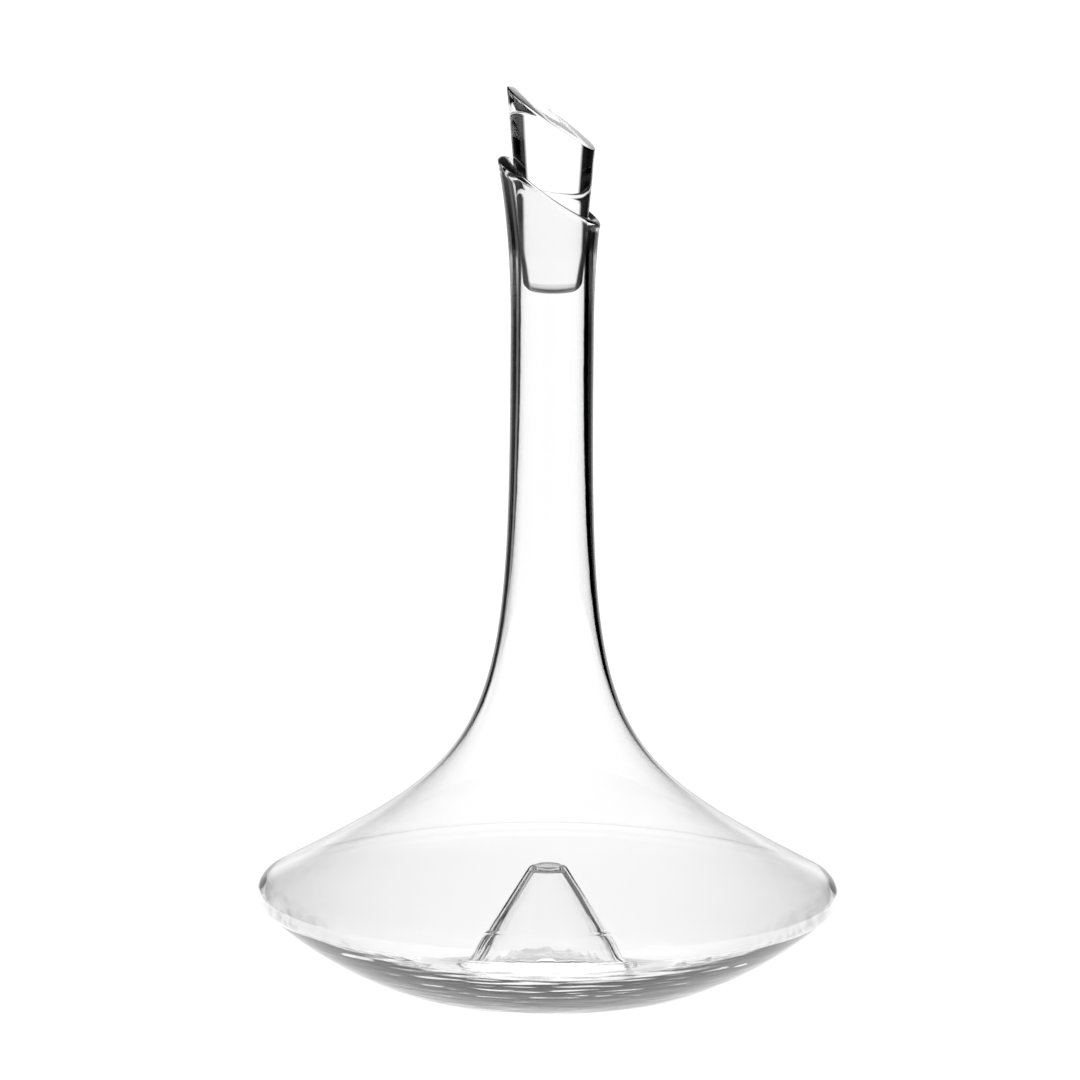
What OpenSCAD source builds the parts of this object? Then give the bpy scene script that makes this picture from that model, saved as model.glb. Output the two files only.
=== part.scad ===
/*
  Wine decanter with a glass stopper.
  A blown vessel: a wide, low bowl whose shoulder sweeps up in one curve to a tall neck. The mouth
  opens a little and is cut off on a slant. The centre of the base is pushed up into a hollow cone,
  the punt. A solid, tapered stopper with a slanted top rests in the end of the neck's bore.
  Millimetres. +Z is up the neck, the origin is on its axis in the plane of the standing ring, and
  the high side of the slanted mouth faces -X.
*/

/* [Bowl] */
// Widest diameter of the bowl
bowl_d = 220.4; // [200:0.2:240]
// Height of the widest level above the table
widest_z = 37.5; // [34:0.5:44]
// Radius of the rounded edge at the widest level
edge_r = 7; // [5:0.5:10]
// Radius of the arc that the underside follows
under_r = 145; // [136:1:180]
// Outer radius of the flat ring that the vessel stands on
stand_r = 49.3; // [46:0.1:54]
// Slope of the shoulder where it leaves the rounded edge
shoulder_deg = 28.3; // [24:0.1:34]
// Thickness of the glass at the bowl's shoulder
bowl_wall = 1.1; // [1:0.1:2]
// Thickness of the glass at the bowl's widest level
edge_wall = 1.45; // [1.2:0.05:2]
// Thickness of the glass over the standing ring
base_wall = 5.4; // [4:0.1:8]
// How late the underside's glass thickens on its way in to the standing ring
base_growth = 1.25; // [1.1:0.05:2]

/* [Neck] */
// Outer diameter of the neck
neck_d = 31.4; // [28:0.2:36]
// Diameter of the neck's bore
bore_d = 24.7; // [22:0.1:26]
// Level where the shoulder has turned into the straight neck
neck_z = 232; // [220:1:244]
// Reach of the shoulder curve's handle at the bowl's end
bowl_handle = 96; // [80:1:110]
// Reach of the shoulder curve's handle at the neck's end
neck_handle = 133; // [110:1:150]
// How late the shoulder's glass thickens on its way up to the neck
wall_growth = 2.2; // [1:0.1:3]

/* [Mouth] */
// Level where the outside of the neck starts to open
flare_z = 252; // [240:1:270]
// Height of the slanted cut on the axis
mouth_z = 304.7; // [296:0.1:306]
// Slant of the cut, high at -X
mouth_deg = 34.2; // [20:0.1:36]
// Outer radius that the open mouth grows to at its full height
lip_r = 21.3; // [19:0.1:23]
// Inner radius that the open mouth grows to at its full height
lip_bore_r = 17.4; // [16:0.1:18]
// How late the outside of the mouth opens
flare_power = 2.3; // [1.5:0.1:3]
// How late the inside of the mouth opens
bore_flare_power = 1.25; // [1.1:0.05:2]

/* [Punt] */
// Height of the hollow under the punt
punt_h = 45.6; // [36:0.1:50]
// Radius of the hollow's opening in the base
punt_open_r = 31.7; // [30:0.1:34]
// Radius of the hollow at its top
punt_tip_r = 5; // [3:0.5:8]
// Thickness of the punt's sloping wall at its top
punt_wall = 2.6; // [2:0.1:4]
// Thickness of the punt's sloping wall at its foot
punt_low_wall = 3.8; // [2:0.1:5]
// Thickness of the glass over the top of the hollow
punt_top_wall = 2.2; // [1.5:0.1:4]
// Rounding at the foot of the punt, inside the bowl
punt_foot_r = 2.7; // [2:0.1:5]
// Rounding of the punt's top, inside the bowl
punt_top_r = 3; // [2:0.5:4]
// Rounding at the top of the hollow
hollow_top_r = 2; // [1:0.5:3]
// Rounding of the hollow's opening into the standing ring
hollow_open_r = 3; // [1:0.5:5]

/* [Stopper] */
// Level where the bore ends and the stopper rests
seat_z = 284; // [278:1:286]
// Gap left round the stopper where it rests
seat_gap = 0.25; // [0.1:0.05:0.5]
// Taper of the stopper's side, from its axis
stopper_taper_deg = 5.23; // [5:0.01:6]
// Level of the stopper's lower end
stopper_low_z = 269.5; // [262:0.5:274]
// Level of the stopper's slanted top on its axis
stopper_top_z = 334.6; // [326:0.1:340]
// Slant of the stopper's top, high at -X
stopper_top_deg = 35.6; // [0:0.1:40]
// Rounding of the stopper's lower edge
stopper_corner_r = 4.6; // [2:0.1:6]

/* [Hidden] */
$fn = 96;
bore_r = bore_d / 2;
neck_r = neck_d / 2;
neck_wall = neck_r - bore_r;
flare_top_z = 320;     // above the high side of the slanted cut
cutter = 70;           // half-width of the block that makes a slanted cut
long_steps = 28;       // straight steps along the shoulder's curve
arc_steps = 12;        // along the outside of the underside and the edge, and along the mouth
floor_steps = 24;      // along the inside of the edge, and along the inner floor
corner_steps = 5;      // round a small rounded corner

edge_c = [bowl_d / 2 - edge_r, widest_z];

// centre of the underside's arc, which starts at the standing ring and ends touching the edge
stand = [stand_r, 0];
chord = norm(edge_c - stand);
along = (edge_c - stand) / chord;
foot_of = (chord * chord + under_r * under_r - pow(under_r - edge_r, 2)) / (2 * chord);
rise = sqrt(under_r * under_r - foot_of * foot_of);
under_c = stand + along * foot_of + [-along[1], along[0]] * rise;

stand_deg = angle_of(stand - under_c);
edge_low_deg = angle_of(edge_c - under_c);

// the shoulder leaves the rounded edge here, and runs up to the neck
edge_high_deg = 90 - shoulder_deg;
shoulder_dir0 = [-sin(edge_high_deg), cos(edge_high_deg)];
shoulder_foot = edge_c + edge_r * [cos(edge_high_deg), sin(edge_high_deg)];
shoulder = [
    shoulder_foot,
    shoulder_foot + bowl_handle * shoulder_dir0,
    [neck_r, neck_z - neck_handle],
    [neck_r, neck_z]
];

// the inner floor runs straight on from over the standing ring to the punt's foot
floor_end = floor_point(1);
floor_run = floor_end - floor_point(1 - 1 / floor_steps);

// the punt's outer cone is nearly parallel to its hollow
hollow_slope = (punt_open_r - punt_tip_r) / punt_h;
level_share = norm([1, hollow_slope]);   // a wall's width on the level, over its thickness
punt_slope = hollow_slope + (punt_low_wall - punt_wall) * level_share / punt_h;
punt_out_r = punt_open_r + punt_low_wall * level_share;
punt_top_z = punt_h + punt_top_wall;
punt_top = [punt_out_r - punt_slope * punt_top_z, punt_top_z];
punt_foot = floor_end + floor_run * (punt_out_r - punt_slope * floor_end[1] - floor_end[0])
    / (floor_run[0] + punt_slope * floor_run[1]);

// the stopper's cone, before its top is cut on the slant
stopper_full_z = stopper_top_z + 20;
stopper_r0 = bore_r - seat_gap - (seat_z - stopper_low_z) * tan(stopper_taper_deg);
stopper_r1 = bore_r - seat_gap + (stopper_full_z - seat_z) * tan(stopper_taper_deg);

// ---- curves ----

function turned(v, a) = [v[0] * cos(a) - v[1] * sin(a), v[0] * sin(a) + v[1] * cos(a)];
function angle_of(v) = atan2(v[1], v[0]);

// the arc about c with radius r from angle a to angle b, without its first point
function arc(c, r, a, b) =
    [for (i = [1 : arc_steps]) c + turned([r, 0], a + (b - a) * i / arc_steps)];

// the corner at b, between a and c, rounded with radius r
function rounded(a, b, c, r) =
    let (
        u = (a - b) / norm(a - b),
        v = (c - b) / norm(c - b),
        half = acos(u * v) / 2,
        mid = b + (u + v) / norm(u + v) * r / sin(half),
        from = b + u * r / tan(half) - mid,
        to = b + v * r / tan(half) - mid,
        turn = sign(from[0] * to[1] - from[1] * to[0]) * (180 - 2 * half)
    )
    [for (i = [0 : corner_steps]) mid + turned(from, turn * i / corner_steps)];

// the shoulder's cubic curve, and its direction
function shoulder_point(t) =
    pow(1 - t, 3) * shoulder[0] + 3 * pow(1 - t, 2) * t * shoulder[1]
    + 3 * (1 - t) * t * t * shoulder[2] + pow(t, 3) * shoulder[3];
function shoulder_dir(t) =
    let (
        d = pow(1 - t, 2) * (shoulder[1] - shoulder[0])
            + 2 * (1 - t) * t * (shoulder[2] - shoulder[1]) + t * t * (shoulder[3] - shoulder[2])
    )
    d / norm(d);

// the inside of the shoulder is set in from it by the glass
function shoulder_wall(t) = bowl_wall + (neck_wall - bowl_wall) * pow(t, wall_growth);
function shoulder_inside(t) = shoulder_point(t) + turned(shoulder_dir(t), 90) * shoulder_wall(t);

// the inside of the rounded edge, from the shoulder, t = 0, to the underside, t = 1; the glass is
// thickest half-way round
function edge_inside(t) =
    let (
        a = edge_high_deg + (edge_low_deg - edge_high_deg) * t,
        wall = bowl_wall + (edge_wall - bowl_wall) * sin(180 * t)
    )
    edge_c + turned([edge_r - wall, 0], a);

// the inner floor, from the rounded edge, t = 0, to over the standing ring, t = 1
function floor_point(t) =
    let (
        a = edge_low_deg + (stand_deg - edge_low_deg) * t,
        wall = bowl_wall + (base_wall - bowl_wall) * pow(t, base_growth)
    )
    under_c + turned([under_r - wall, 0], a);

function flare(r0, r1, z0, power, t) =
    [r0 + (r1 - r0) * pow(t, power), z0 + (flare_top_z - z0) * t];

// ---- the vessel's outline, in three stretches that follow each other ----

// from the standing ring up to the top of the mouth
function outside() = concat(
    [stand],
    arc(under_c, under_r, stand_deg, edge_low_deg),
    arc(edge_c, edge_r, edge_low_deg, edge_high_deg),
    [for (i = [1 : long_steps]) shoulder_point(i / long_steps)],
    [for (i = [0 : arc_steps]) flare(neck_r, lip_r, flare_z, flare_power, i / arc_steps)]
);

// from the top of the mouth down to the punt's top
function inside() = concat(
    [for (i = [arc_steps : -1 : 0]) flare(bore_r, lip_bore_r, seat_z, bore_flare_power, i / arc_steps)],
    [for (i = [long_steps : -1 : 0]) shoulder_inside(i / long_steps)],
    [for (i = [1 : floor_steps]) edge_inside(i / floor_steps)],
    [for (i = [1 : floor_steps]) floor_point(i / floor_steps)],
    rounded(floor_end, punt_foot, punt_top, punt_foot_r),
    rounded(punt_foot, punt_top, [0, punt_top_z], punt_top_r),
    [[0, punt_top_z]]
);

// from the top of the hollow down to the standing ring
function hollow() = concat(
    [[0, punt_h]],
    rounded([0, punt_h], [punt_tip_r, punt_h], [punt_open_r, 0], hollow_top_r),
    rounded([punt_tip_r, punt_h], [punt_open_r, 0], stand, hollow_open_r)
);

// everything above a plane that crosses the axis at z and falls towards +X by deg
module above_slant(z, deg) {
    translate([0, 0, z])
        rotate([0, deg, 0])
            translate([-cutter, -cutter, 0])
                cube([2 * cutter, 2 * cutter, cutter]);
}

module decanter_body() {
    color([0.86, 0.91, 0.92, 0.4])
        difference() {
            rotate_extrude()
                polygon(concat(outside(), inside(), hollow()));
            above_slant(mouth_z, mouth_deg);
        }
}

module stopper() {
    color([0.8, 0.87, 0.9, 0.5])
        difference() {
            rotate_extrude()
                polygon(concat(
                    [[0, stopper_low_z]],
                    rounded(
                        [0, stopper_low_z], [stopper_r0, stopper_low_z],
                        [stopper_r1, stopper_full_z], stopper_corner_r
                    ),
                    [[stopper_r1, stopper_full_z], [0, stopper_full_z]]
                ));
            above_slant(stopper_top_z, stopper_top_deg);
        }
}

decanter_body();
stopper();
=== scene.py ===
"""Looks for the wine decanter: the blown vessel and its stopper in clear glass, on a white table in a
studio that is bright behind the glass and dark beside it. Metres, in the CAD's own frame."""

from math import acos, atan2, cos, hypot, pi, radians, sin, sqrt, tan

import bmesh
import bpy
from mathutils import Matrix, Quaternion, Vector


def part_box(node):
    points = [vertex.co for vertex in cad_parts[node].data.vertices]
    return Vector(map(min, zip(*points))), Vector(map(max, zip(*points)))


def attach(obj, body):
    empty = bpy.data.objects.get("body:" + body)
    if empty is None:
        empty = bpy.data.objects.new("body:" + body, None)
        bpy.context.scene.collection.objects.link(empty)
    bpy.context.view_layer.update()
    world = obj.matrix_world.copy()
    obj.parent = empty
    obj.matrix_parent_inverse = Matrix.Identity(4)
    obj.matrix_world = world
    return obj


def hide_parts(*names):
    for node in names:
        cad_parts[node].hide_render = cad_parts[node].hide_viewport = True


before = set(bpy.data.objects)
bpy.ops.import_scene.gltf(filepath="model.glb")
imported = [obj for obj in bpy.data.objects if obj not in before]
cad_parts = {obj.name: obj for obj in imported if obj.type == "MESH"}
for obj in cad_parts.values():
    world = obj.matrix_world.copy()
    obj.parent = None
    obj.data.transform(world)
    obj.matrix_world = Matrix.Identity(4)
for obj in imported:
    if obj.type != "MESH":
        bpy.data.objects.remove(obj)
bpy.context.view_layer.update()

MM = 0.001
TURN = 2 * pi

# ---------------------------------------------------------------- driving dimensions

vessel_low, vessel_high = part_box("decanter_body")
stopper_low, stopper_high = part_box("stopper")

BOWL_R = vessel_high[0]
STOPPER_LOW = stopper_low[2]
NECK_R = 15.7 * MM
BORE_R = 12.35 * MM

EDGE_R = 7 * MM          # the bowl's rounded edge
WIDEST_Z = 37.5 * MM
UNDER_R = 145 * MM       # arc of the underside
STAND_R = 49.3 * MM      # standing ring, outer
SHOULDER = radians(28.3)  # slope of the shoulder at the rounded edge
WALL = 1.1 * MM          # glass at the shoulder
EDGE_WALL = 1.45 * MM    # glass at the widest level
BASE_WALL = 5.4 * MM     # glass above the standing ring
BASE_GROWTH = 1.25       # how late the underside's glass thickens on its way in

NECK_Z = 232 * MM        # the straight neck starts here
BOWL_HANDLE = 96 * MM    # reach of the shoulder curve's handles
NECK_HANDLE = 133 * MM
WALL_GROWTH = 2.2        # how late the shoulder's glass thickens on its way up

FLARE_Z = 252 * MM       # the outside starts to open here, and the bore at the seat
SEAT_Z = 284 * MM
FLARE_TOP_Z = 320 * MM
LIP_R = 21.3 * MM        # radii that the mouth would reach at the flare's top
LIP_BORE_R = 17.4 * MM
FLARE_POWER = 2.3        # how late the outside and the bore open
BORE_FLARE_POWER = 1.25
MOUTH_Z = 304.7 * MM     # the slanted cut, on the axis
MOUTH_SLOPE = tan(radians(34.2))

PUNT_H = 45.6 * MM
PUNT_OPEN_R = 31.7 * MM
PUNT_TIP_R = 5 * MM
PUNT_WALL = 2.6 * MM
PUNT_LOW_WALL = 3.8 * MM  # at the foot
PUNT_TOP_WALL = 2.2 * MM
PUNT_FOOT_R = 2.7 * MM
PUNT_TOP_R = 3 * MM
HOLLOW_TOP_R = 2 * MM
HOLLOW_OPEN_R = 3 * MM

SEAT_GAP = 0.25 * MM
TAPER = tan(radians(5.23))
STOPPER_TOP_Z = 334.6 * MM  # the slanted top, on the axis
STOPPER_SLOPE = tan(radians(35.6))
STOPPER_CORNER_R = 4.6 * MM
STOPPER_EDGE = 0.5 * MM     # rounding of the slanted top's rim

RING_TOP = 0.4 * MM      # the standing ring's scuffed glass reaches up to here

PAST_CORNER = 1.1        # where the stopper's straight side starts and ends, in roundings
PAST_RIM = 2

SIDES = 224              # steps round the axis
FINE = 40                # steps along a long arc
LONG = 3 * FINE          # steps along the shoulder
SMALL = 10               # steps round a small corner
CUT_STEPS = 40           # steps that close in on where an outline meets a slanted cut

# ---------------------------------------------------------------- camera

AIM_SIDE = -4 * MM       # the photograph isn't centred on the neck
AIM_LEVEL = 0.5438       # share of the vessel's height
CAMERA_AIM = Vector((AIM_SIDE, 0, vessel_high[2] * AIM_LEVEL))
CAMERA_UP = radians(10.5)
CAMERA_ROLL = radians(0.45)
CAMERA_AWAY = 6.0
VIEW_WIDTH = 0.4082


def make_camera():
    data = bpy.data.cameras.new("camera")
    camera = bpy.data.objects.new("camera", data)
    bpy.context.scene.collection.objects.link(camera)
    back = Vector((0, -cos(CAMERA_UP), sin(CAMERA_UP)))
    camera.location = CAMERA_AIM + back * CAMERA_AWAY
    camera.rotation_mode = "QUATERNION"
    camera.rotation_quaternion = back.to_track_quat("Z", "Y") @ Quaternion((0, 0, 1), CAMERA_ROLL)
    data.sensor_width = 36
    data.lens = data.sensor_width * CAMERA_AWAY / VIEW_WIDTH
    data.clip_start = 0.1
    data.clip_end = 100
    bpy.context.scene.camera = camera


# ---------------------------------------------------------------- outlines, as (radius, height)


def arc(centre, radius, start, end, steps):
    """Points on an arc, both ends included."""
    angles = [start + (end - start) * i / steps for i in range(steps + 1)]
    return [(centre[0] + radius * cos(a), centre[1] + radius * sin(a)) for a in angles]


def rounded(before, corner, after, radius, steps=SMALL):
    """The arc that rounds a corner between two straight sides."""
    corner = Vector(corner)
    u = (Vector(before) - corner).normalized()
    v = (Vector(after) - corner).normalized()
    half = acos(u.dot(v)) / 2
    centre = corner + (u + v).normalized() * (radius / sin(half))
    start = corner + u * (radius / tan(half)) - centre
    end = corner + v * (radius / tan(half)) - centre
    first = atan2(start.y, start.x)
    turn = (atan2(end.y, end.x) - first + pi) % TURN - pi
    return arc(centre, radius, first, first + turn, steps)


def under_arc():
    """Centre of the underside's arc: it starts at the standing ring and ends touching the edge."""
    edge = Vector((BOWL_R - EDGE_R, WIDEST_Z))
    stand = Vector((STAND_R, 0))
    along = (edge - stand).normalized()
    chord = (edge - stand).length
    foot = (chord**2 + UNDER_R**2 - (UNDER_R - EDGE_R) ** 2) / (2 * chord)
    rise = sqrt(UNDER_R**2 - foot**2)
    return stand + along * foot + Vector((-along.y, along.x)) * rise


def shoulder(t):
    """A point on the shoulder's curve and the direction that it runs in there."""
    leave = pi / 2 - SHOULDER
    a = Vector((BOWL_R - EDGE_R, WIDEST_Z)) + EDGE_R * Vector((cos(leave), sin(leave)))
    b = a + BOWL_HANDLE * Vector((-sin(leave), cos(leave)))
    d = Vector((NECK_R, NECK_Z))
    c = d - Vector((0, NECK_HANDLE))
    s = 1 - t
    point = s**3 * a + 3 * s * s * t * b + 3 * s * t * t * c + t**3 * d
    run = s * s * (b - a) + 2 * s * t * (c - b) + t * t * (d - c)
    return point, run.normalized()


def shoulder_inside(t):
    point, run = shoulder(t)
    wall = WALL + (NECK_R - BORE_R - WALL) * t**WALL_GROWTH
    return point + Vector((-run.y, run.x)) * wall


def neck_outside(z):
    t = max(0, (z - FLARE_Z) / (FLARE_TOP_Z - FLARE_Z))
    return NECK_R + (LIP_R - NECK_R) * t**FLARE_POWER


def neck_inside(z):
    t = max(0, (z - SEAT_Z) / (FLARE_TOP_Z - SEAT_Z))
    return BORE_R + (LIP_BORE_R - BORE_R) * t**BORE_FLARE_POWER


def vessel_outside():
    """From the standing ring up to where the straight neck starts."""
    edge = (BOWL_R - EDGE_R, WIDEST_Z)
    under = under_arc()
    low = atan2(edge[1] - under.y, edge[0] - under.x)
    return (
        arc(under, UNDER_R, atan2(-under.y, STAND_R - under.x), low, FINE)
        + arc(edge, EDGE_R, low, pi / 2 - SHOULDER, FINE // 2)[1:]
        + [tuple(shoulder(i / LONG)[0]) for i in range(1, LONG + 1)]
    )


def edge_inside_point(t):
    """A point on the inside of the rounded edge: t is 0 at the shoulder and 1 at the underside."""
    edge = Vector((BOWL_R - EDGE_R, WIDEST_Z))
    under = under_arc()
    leave = pi / 2 - SHOULDER
    turn = leave + (atan2(edge.y - under.y, edge.x - under.x) - leave) * t
    wall = WALL + (EDGE_WALL - WALL) * sin(pi * t)
    return edge + (EDGE_R - wall) * Vector((cos(turn), sin(turn)))


def floor_inside(t):
    """A point on the inner floor: t is 0 at the rounded edge and 1 over the standing ring."""
    under = under_arc()
    high = atan2(WIDEST_Z - under.y, BOWL_R - EDGE_R - under.x)
    low = atan2(-under.y, STAND_R - under.x)
    turn = high + (low - high) * t
    reach = UNDER_R - WALL - (BASE_WALL - WALL) * t**BASE_GROWTH
    return under + reach * Vector((cos(turn), sin(turn)))


def vessel_inside():
    """From where the straight neck starts down to the top of the punt."""
    edge_inside = [edge_inside_point(i / FINE) for i in range(1, FINE + 1)]
    floor = [floor_inside(i / FINE) for i in range(1, FINE + 1)]

    hollow_slope = (PUNT_OPEN_R - PUNT_TIP_R) / PUNT_H
    level_share = hypot(1, hollow_slope)   # a wall's width on the level, over its thickness
    cone_r = PUNT_OPEN_R + PUNT_LOW_WALL * level_share
    slope = hollow_slope + (PUNT_LOW_WALL - PUNT_WALL) * level_share / PUNT_H
    top_z = PUNT_H + PUNT_TOP_WALL
    top = (cone_r - slope * top_z, top_z)
    run = floor[-1] - floor[-2]
    reach = (cone_r - slope * floor[-1].y - floor[-1].x) / (run.x + slope * run.y)
    foot = floor[-1] + run * reach
    return (
        [tuple(shoulder_inside(i / LONG)) for i in range(LONG, -1, -1)]
        + [tuple(p) for p in edge_inside + floor]
        + rounded(floor[-1], foot, top, PUNT_FOOT_R)
        + rounded(foot, top, (0, top_z), PUNT_TOP_R)
        + [(0, top_z)]
    )


def punt_hollow():
    """From the top of the hollow down to the standing ring."""
    top = (PUNT_TIP_R, PUNT_H)
    mouth = (PUNT_OPEN_R, 0)
    return (
        [(0, PUNT_H)]
        + rounded((0, PUNT_H), top, mouth, HOLLOW_TOP_R)
        + rounded(top, mouth, (STAND_R, 0), HOLLOW_OPEN_R)
    )


def cut_height(radius_at, middle, slope, turn):
    """Where an outline meets a slanted plane, on the side of the axis at angle turn."""
    z = middle
    for _ in range(CUT_STEPS):
        z = (z + middle - slope * radius_at(z) * cos(turn)) / 2
    return z


def mouth_outline(turn):
    """From the straight neck up the outside, over the round lip and down to the bore."""
    out_z = cut_height(neck_outside, MOUTH_Z, MOUTH_SLOPE, turn)
    in_z = cut_height(neck_inside, MOUTH_Z, MOUTH_SLOPE, turn)
    rise = [i / FINE for i in range(1, FINE + 1)]
    outside = [NECK_Z + (out_z - NECK_Z) * t for t in rise]
    inside = [in_z + (NECK_Z - in_z) * t for t in [0] + rise[:-1]]
    a = Vector((neck_outside(out_z), out_z))
    b = Vector((neck_inside(in_z), in_z))
    half = (a - b) / 2
    over = Vector((-half.y, half.x))
    lip_turns = [pi * i / SMALL for i in range(1, SMALL)]
    lip = [(a + b) / 2 + half * cos(t) + over * sin(t) for t in lip_turns]
    return (
        [(neck_outside(z), z) for z in outside]
        + [tuple(p) for p in lip]
        + [(neck_inside(z), z) for z in inside]
    )


def stopper_side(z):
    return BORE_R - SEAT_GAP + (z - SEAT_Z) * TAPER


def stopper_outline(turn):
    """From the middle of the lower end out and up to the rim of the slanted top."""
    top_z = cut_height(stopper_side, STOPPER_TOP_Z, STOPPER_SLOPE, turn)
    low = (stopper_side(STOPPER_LOW), STOPPER_LOW)
    top = (stopper_side(top_z), top_z)
    side_low = STOPPER_LOW + STOPPER_CORNER_R * PAST_CORNER
    side_high = top_z - STOPPER_EDGE * PAST_RIM
    side_z = [side_low + (side_high - side_low) * i / FINE for i in range(FINE + 1)]
    inward = Vector((-1, STOPPER_SLOPE * cos(turn))).normalized()
    return (
        [(0, STOPPER_LOW)]
        + rounded((0, STOPPER_LOW), low, top, STOPPER_CORNER_R)
        + [(stopper_side(z), z) for z in side_z]
        + rounded(low, top, tuple(Vector(top) + inward), STOPPER_EDGE, SMALL // 2)
    )


# ---------------------------------------------------------------- meshes


def revolve(name, rings):
    """A closed mesh from rings about the axis. A ring is one (0, height) point, or one point a side."""
    mesh = bpy.data.meshes.new(name)
    bm = bmesh.new()
    loops = []
    for ring in rings:
        if len(ring) == 1:
            loops.append([bm.verts.new((0, 0, ring[0][1]))])
            continue
        turns = [TURN * i / SIDES for i in range(SIDES)]
        loops.append([bm.verts.new((r * cos(a), r * sin(a), z)) for a, (r, z) in zip(turns, ring)])
    for low, high in zip(loops, loops[1:]):
        for i in range(SIDES):
            j = (i + 1) % SIDES
            if len(low) == 1:
                bm.faces.new((low[0], high[j], high[i]))
            elif len(high) == 1:
                bm.faces.new((low[i], low[j], high[0]))
            else:
                bm.faces.new((low[i], low[j], high[j], high[i]))
    bmesh.ops.recalc_face_normals(bm, faces=bm.faces)
    for face in bm.faces:
        face.smooth = True
    bm.to_mesh(mesh)
    bm.free()
    piece = bpy.data.objects.new(name, mesh)
    bpy.context.scene.collection.objects.link(piece)
    return piece


def around(outline):
    """Rings from an outline that is the same all round."""
    return [[p] if p[0] == 0 else [p] * SIDES for p in outline]


def across(outline_at):
    """Rings from an outline that changes round the axis."""
    sides = [outline_at(TURN * i / SIDES) for i in range(SIDES)]
    return [[p] if p[0] == 0 else [side[k] for side in sides] for k, p in enumerate(sides[0])]


def make_vessel():
    rings = (
        around(punt_hollow())
        + around(vessel_outside())
        + across(mouth_outline)
        + around(vessel_inside())
    )
    vessel = revolve("vessel_glass_body", rings)
    vessel.data.materials.append(glass("vessel_glass", WIDEST_Z, RING_TOP))
    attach(vessel, "vessel")
    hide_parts("decanter_body")


def make_stopper():
    stopper = revolve("stopper_glass_plug", across(stopper_outline) + [[(0, STOPPER_TOP_Z)]])
    stopper.data.materials.append(glass("stopper_glass", 0, RING_TOP))
    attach(stopper, "stopper")
    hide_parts("stopper")


# ---------------------------------------------------------------- materials


class Graph:
    """Short calls for wiring the nodes of a material or a world."""

    def __init__(self, tree):
        self.nodes = tree.nodes
        self.links = tree.links

    def feed(self, socket, value):
        if isinstance(value, bpy.types.NodeSocket):
            self.links.new(value, socket)
        else:
            socket.default_value = value

    def math(self, operation, a, b=0.0):
        node = self.nodes.new("ShaderNodeMath")
        node.operation = operation
        self.feed(node.inputs[0], a)
        self.feed(node.inputs[1], b)
        return node.outputs[0]

    def ramp(self, position, stops):
        """Brightness against a position from 0 to 1."""
        node = self.nodes.new("ShaderNodeValToRGB")
        band = node.color_ramp
        while len(band.elements) < len(stops):
            band.elements.new(0.5)
        for element, (place, level) in zip(band.elements, stops):
            element.position = place
            element.color = (level, level, level, 1)
        self.feed(node.inputs[0], position)
        return node.outputs[0]

    def between(self, value, low, high):
        """0 where the value is at low and 1 where it is at high, with a soft step."""
        node = self.nodes.new("ShaderNodeMapRange")
        node.interpolation_type = "SMOOTHSTEP"
        self.feed(node.inputs["Value"], value)
        self.feed(node.inputs["From Min"], low)
        self.feed(node.inputs["From Max"], high)
        return node.outputs["Result"]

    def noise(self, vector, scale, detail=1.0):
        node = self.nodes.new("ShaderNodeTexNoise")
        self.feed(node.inputs["Vector"], vector)
        self.feed(node.inputs["Scale"], scale)
        self.feed(node.inputs["Detail"], detail)
        return node.outputs[0]

    def vector(self, x, y, z):
        node = self.nodes.new("ShaderNodeCombineXYZ")
        for socket, value in zip(node.inputs, (x, y, z)):
            self.feed(socket, value)
        return node.outputs[0]


GLASS_IOR = 1.5
STRIA = 7 * MM           # width of the waves that run round the axis
STRIA_TURNS = 4          # how often a wave breaks up on its way round the axis
STRIA_DEPTH = 0.02 * MM
DIMPLE = 30 * MM         # width of the broad waves
DIMPLE_DEPTH = 0.05 * MM
BASE_DEEPER = 18         # how much deeper the waves are in the thick base
BASE_SHARE = 0.4         # they are deepest below this share of the base's height
SCUFF = 0.3              # roughness of the standing ring


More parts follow.
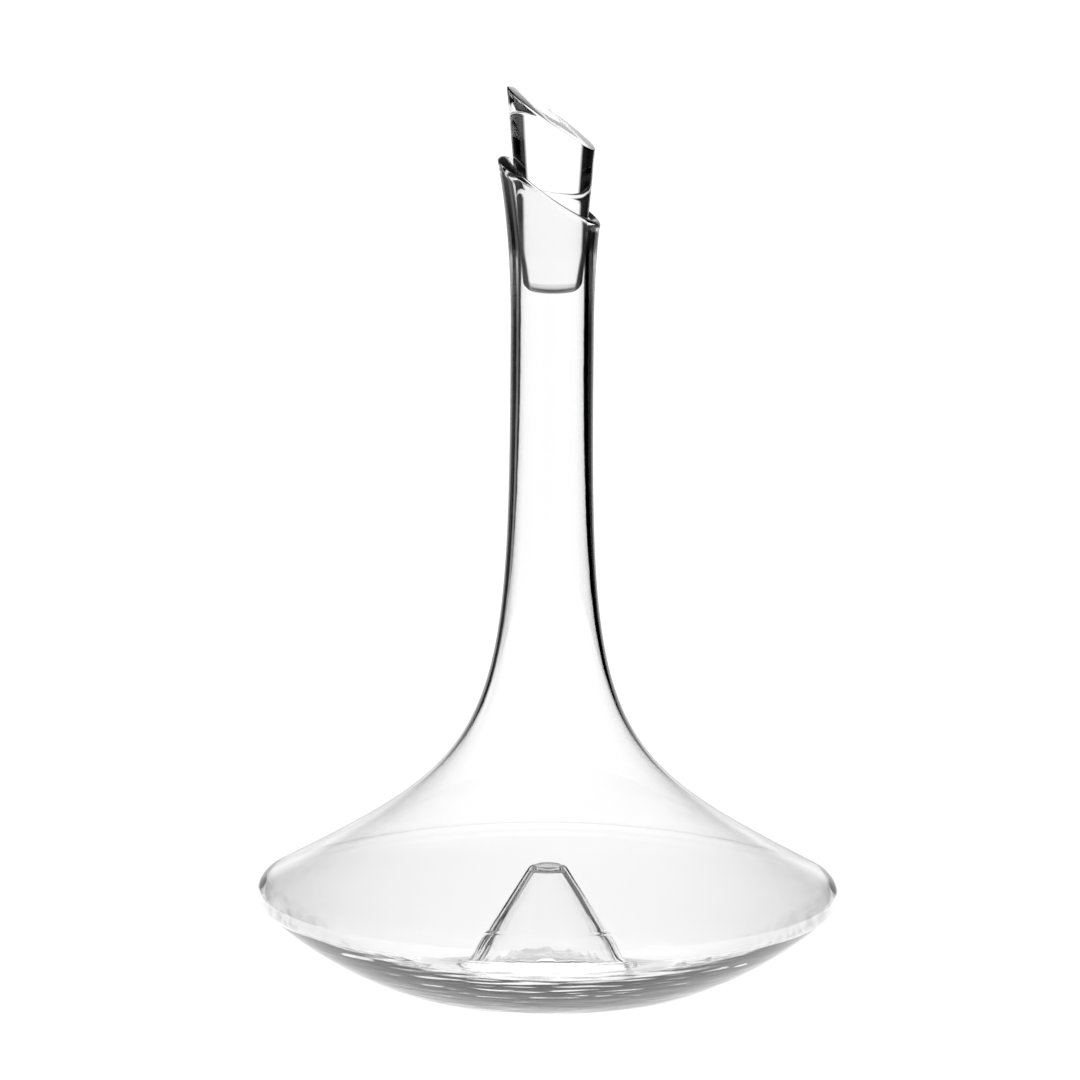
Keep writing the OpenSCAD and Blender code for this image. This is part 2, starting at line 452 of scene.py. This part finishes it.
def glass(name, base_top, ring_top):
    """Clear glass with the faint waves of blown glass. They run round the axis, and are deeper below
    base_top. Below ring_top the glass is scuffed by what it stands on."""
    material = bpy.data.materials.new(name)
    material.use_nodes = True
    graph = Graph(material.node_tree)
    shader = graph.nodes["Principled BSDF"]
    shader.inputs["Base Color"].default_value = (1, 1, 1, 1)
    shader.inputs["Transmission Weight"].default_value = 1
    shader.inputs["IOR"].default_value = GLASS_IOR

    place = graph.nodes.new("ShaderNodeTexCoord").outputs["Object"]
    split = graph.nodes.new("ShaderNodeSeparateXYZ")
    graph.feed(split.inputs[0], place)
    x, y, z = split.outputs
    squared = graph.math("ADD", graph.math("MULTIPLY", x, x), graph.math("MULTIPLY", y, y))
    radius = graph.math("SQRT", squared)
    run = graph.math("DIVIDE", graph.math("ADD", radius, z), STRIA)
    turned = graph.math("DIVIDE", STRIA_TURNS, graph.math("ADD", radius, MM))
    striae = graph.noise(
        graph.vector(graph.math("MULTIPLY", x, turned), graph.math("MULTIPLY", y, turned), run), 1.0)
    dimples = graph.noise(place, 1 / DIMPLE)
    deeper = graph.between(z, base_top, base_top * BASE_SHARE)
    depth = graph.math("ADD", graph.math("MULTIPLY", deeper, BASE_DEEPER), 1)
    ripples = graph.math("MULTIPLY", graph.math("MULTIPLY", striae, STRIA_DEPTH), depth)
    waves = graph.math("ADD", ripples, graph.math("MULTIPLY", dimples, DIMPLE_DEPTH))
    bump = graph.nodes.new("ShaderNodeBump")
    bump.inputs["Distance"].default_value = 1
    graph.feed(bump.inputs["Height"], waves)
    graph.feed(shader.inputs["Normal"], bump.outputs[0])

    scuffed = graph.math("MULTIPLY", graph.between(z, ring_top, 0), SCUFF)
    graph.feed(shader.inputs["Roughness"], scuffed)
    return material


def table_white():
    material = bpy.data.materials.new("table_white")
    material.use_nodes = True
    shader = material.node_tree.nodes["Principled BSDF"]
    shader.inputs["Base Color"].default_value = (TABLE_GREY, TABLE_GREY, TABLE_GREY, 1)
    shader.inputs["Roughness"].default_value = 0.6
    shader.inputs["Specular IOR Level"].default_value = 0.2
    shader.inputs["Emission Color"].default_value = (1, 1, 1, 1)
    shader.inputs["Emission Strength"].default_value = TABLE_GLOW
    return material


# ---------------------------------------------------------------- studio

TABLE_R = 0.45
TABLE_SIDES = 128
TABLE_GAP = 0.3 * MM     # below the glass, so that the two don't touch
TABLE_GREY = 0.5
TABLE_GLOW = 1.04        # its own light, so that it comes out as white as the background
PANELS = 1.15            # brightness of the panels
CEILING = 0.03           # brightness overhead, straight through the glass

# brightness of the studio round the glass: (compass degrees from +Y towards +X, brightness)
EYE_LEVEL = (
    (-180, 0.75), (-128, 0.75), (-122, 1), (-78, 1), (-72, 0), (-33, 0), (-29, 1),
    (29, 1), (33, 0), (98, 0), (104, 1), (168, 1), (174, 0.75), (180, 0.75),
)
# how far the pale floor, and the ceiling, have taken over from the panels, as (degrees above the
# horizon, share)
BELOW_PANELS = ((-90, 1), (-19, 1), (-15, 0), (90, 0))
ABOVE_PANELS = ((-90, 0), (6, 0), (18, 1), (90, 1))
# what light reflected inside the glass finds: bright upright slits round it, the widest behind it, and
# soft light from overhead, as (degrees above the horizon, brightness)
SLITS = ((-90, 3), (-45, 3), (0, 10), (135, 3))   # (compass degrees, half its width)
SLIT_EDGE = 6            # degrees that a slit takes to fade
IN_SLIT = ((-90, 0), (-14, 0.1), (-7, 0.25), (-2, 0.8), (10, 0.8), (15, 0), (90, 0))
OVERHEAD = ((-90, 0), (10, 0), (15, 0.24), (90, 0.24))
# where the soft light from overhead is shaded off: (compass degrees, brightness)
SHADE = ((-180, 1), (45, 1), (60, 0), (110, 0), (125, 1), (180, 1))
OUTER_SHARE = 0.5        # share of the slits and overhead that light reflected off the outside finds

BOUNCES = 40             # enough for light to leave the glass again after many reflections


def make_table():
    bm = bmesh.new()
    bmesh.ops.create_circle(bm, cap_ends=True, segments=TABLE_SIDES, radius=TABLE_R)
    mesh = bpy.data.meshes.new("table")
    bm.to_mesh(mesh)
    bm.free()
    table = bpy.data.objects.new("table", mesh)
    table.location.z = -TABLE_GAP
    bpy.context.scene.collection.objects.link(table)
    mesh.materials.append(table_white())


def on_ramp(stops, span):
    """Stops in degrees, as places on a ramp that reaches span degrees and has 0 in its middle."""
    return [(degrees / span + 0.5, level) for degrees, level in stops]


def make_studio():
    """Panels all round, as the light that the glass gathers. Behind everything, plain white."""
    scene = bpy.context.scene
    world = bpy.data.worlds.new("studio")
    world.use_nodes = True
    scene.world = world
    graph = Graph(world.node_tree)
    graph.nodes.clear()

    split = graph.nodes.new("ShaderNodeSeparateXYZ")
    graph.feed(split.inputs[0], graph.nodes.new("ShaderNodeTexCoord").outputs["Generated"])
    x, y, z = split.outputs
    compass = graph.math("ADD", graph.math("DIVIDE", graph.math("ARCTAN2", x, y), TURN), 0.5)
    height = graph.math("ADD", graph.math("DIVIDE", graph.math("ARCSINE", z), pi), 0.5)
    underfoot = graph.ramp(height, on_ramp(BELOW_PANELS, 180))
    overhead = graph.ramp(height, on_ramp(ABOVE_PANELS, 180))
    panels = graph.math("MULTIPLY", PANELS, graph.math(
        "MAXIMUM", underfoot, graph.ramp(compass, on_ramp(EYE_LEVEL, 360))))
    through = graph.math("ADD", graph.math("MULTIPLY", panels, graph.math("SUBTRACT", 1.0, overhead)),
                         graph.math("MULTIPLY", overhead, CEILING))
    slits = [(-180, 0)]
    for middle, half in SLITS:
        outer = half + SLIT_EDGE
        slits += [(middle - outer, 0), (middle - half, 1), (middle + half, 1), (middle + outer, 0)]
    in_slit = graph.math("MULTIPLY", graph.ramp(compass, on_ramp(slits, 360)),
                         graph.ramp(height, on_ramp(IN_SLIT, 180)))
    soft = graph.math("MULTIPLY", graph.ramp(compass, on_ramp(SHADE, 360)),
                      graph.ramp(height, on_ramp(OVERHEAD, 180)))
    mirrored = graph.math("ADD", in_slit, soft)
    path = graph.nodes.new("ShaderNodeLightPath")
    inner = graph.math("ADD", path.outputs["Transmission Depth"], OUTER_SHARE)
    bounced = graph.math("MINIMUM", 1.0, graph.math("MULTIPLY", path.outputs["Glossy Depth"], inner))
    light = graph.math("ADD", graph.math("MULTIPLY", through, graph.math("SUBTRACT", 1.0, bounced)),
                       graph.math("MULTIPLY", mirrored, bounced))
    background = graph.nodes.new("ShaderNodeBackground")
    graph.feed(background.inputs["Color"], graph.math("MAXIMUM", light, path.outputs["Is Camera Ray"]))
    output = graph.nodes.new("ShaderNodeOutputWorld")
    graph.feed(output.inputs["Surface"], background.outputs[0])

    scene.view_settings.view_transform = "Standard"
    scene.cycles.max_bounces = BOUNCES
    scene.cycles.transmission_bounces = BOUNCES
    scene.cycles.blur_glossy = 0


make_camera()
make_studio()
make_table()
make_vessel()
make_stopper()
